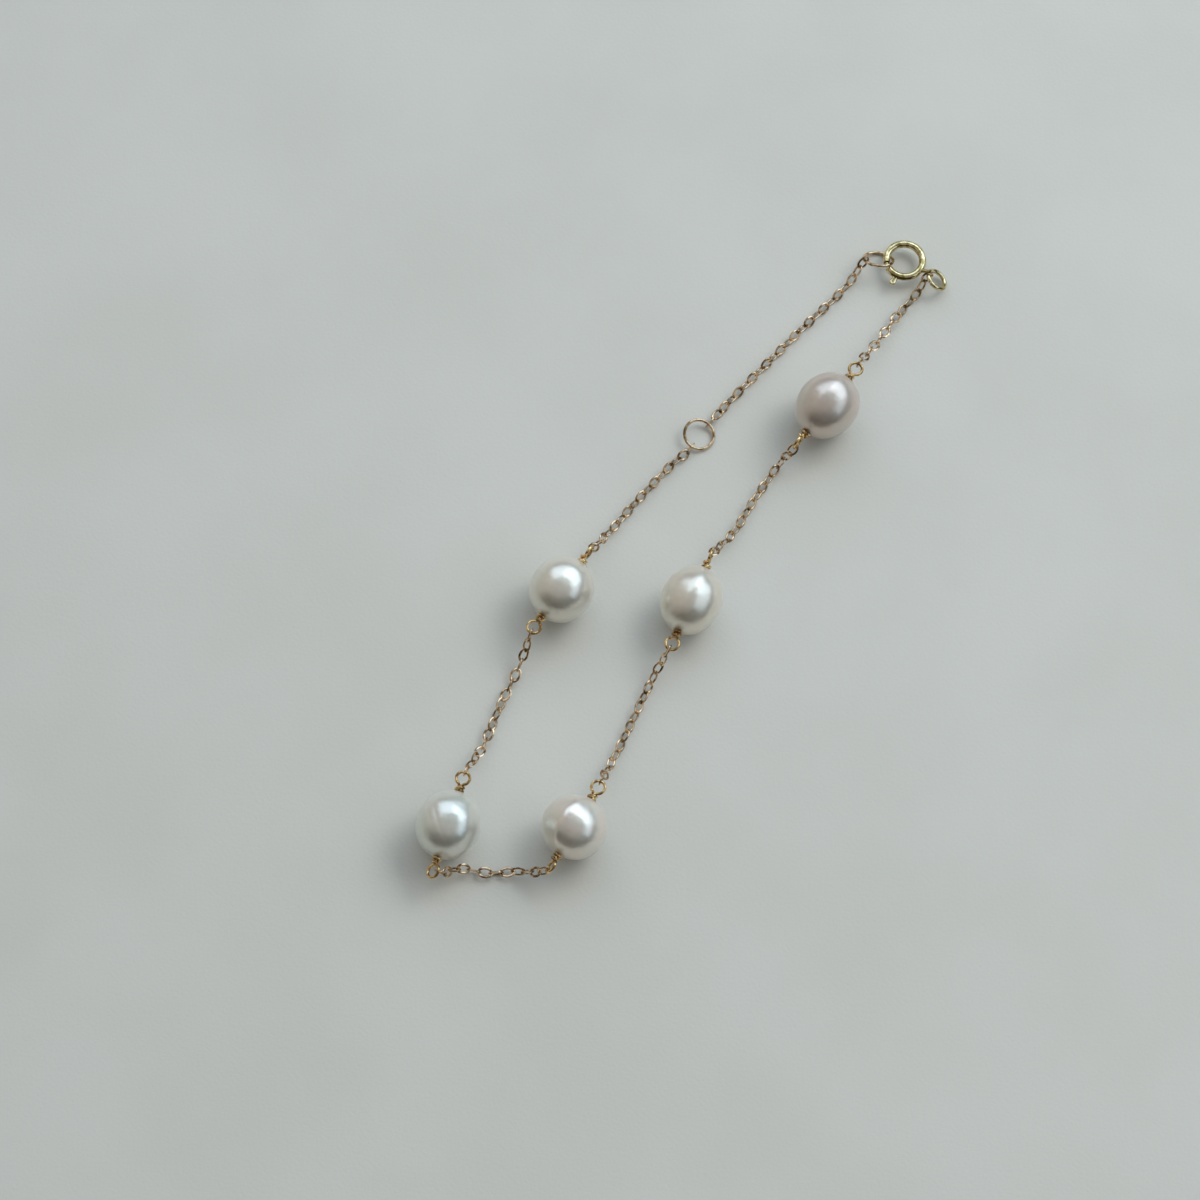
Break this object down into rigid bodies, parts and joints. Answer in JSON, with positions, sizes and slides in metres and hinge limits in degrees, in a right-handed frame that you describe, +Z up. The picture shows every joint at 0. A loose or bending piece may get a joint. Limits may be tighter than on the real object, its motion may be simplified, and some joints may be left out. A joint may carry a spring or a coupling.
{
  "type": "pearl bracelet",
  "caption": "Bracelet of near-round pearls on wrapped wire eyes, joined by fine cable chain, with an extension ring, an end ring and a spring ring clasp.",
  "frame": {"origin": "centre of the bracelet's box, on the level surface that it lies on", "axes": "+Z up from the surface, +Y along the length of the laid loop towards the clasp, +X to the right of it"},
  "size_m": [0.0596, 0.0766, 0.0073],
  "materials": {
    "nacre": "cream white nacre with a soft lustre",
    "pearl_wire_gold": "warm gold, polished wire",
    "chain_gold": "pale rose gold, polished",
    "clasp_gold": "pale yellow gold, polished"
  },
  "bodies": {
    "bracelet": {"pearl_1": "nacre", "pearl_2": "nacre", "pearl_3": "nacre", "pearl_4": "nacre", "pearl_5": "nacre", "pearl_wire_1": "pearl_wire_gold", "pearl_wire_2": "pearl_wire_gold", "pearl_wire_3": "pearl_wire_gold", "pearl_wire_4": "pearl_wire_gold", "pearl_wire_5": "pearl_wire_gold", "chain_1": "chain_gold", "chain_2": "chain_gold", "chain_3": "chain_gold", "chain_4": "chain_gold", "chain_5": "chain_gold", "chain_6": "chain_gold", "chain_7": "chain_gold", "extension_ring": "chain_gold", "end_ring": "chain_gold", "clasp_body": "clasp_gold"},
    "lever": {"clasp_lever": "clasp_gold"}
  },
  "joints": [
    {"name": "clasp_trigger", "type": "hinge", "parent": "bracelet", "child": "lever", "pos_m": [0.0251, 0.0354, 0.00125], "axis": [0, 0, 1], "range_deg": [0, 30], "stiffness_Nm_per_rad": 0.0005, "springref_deg": -5.73}
  ]
}
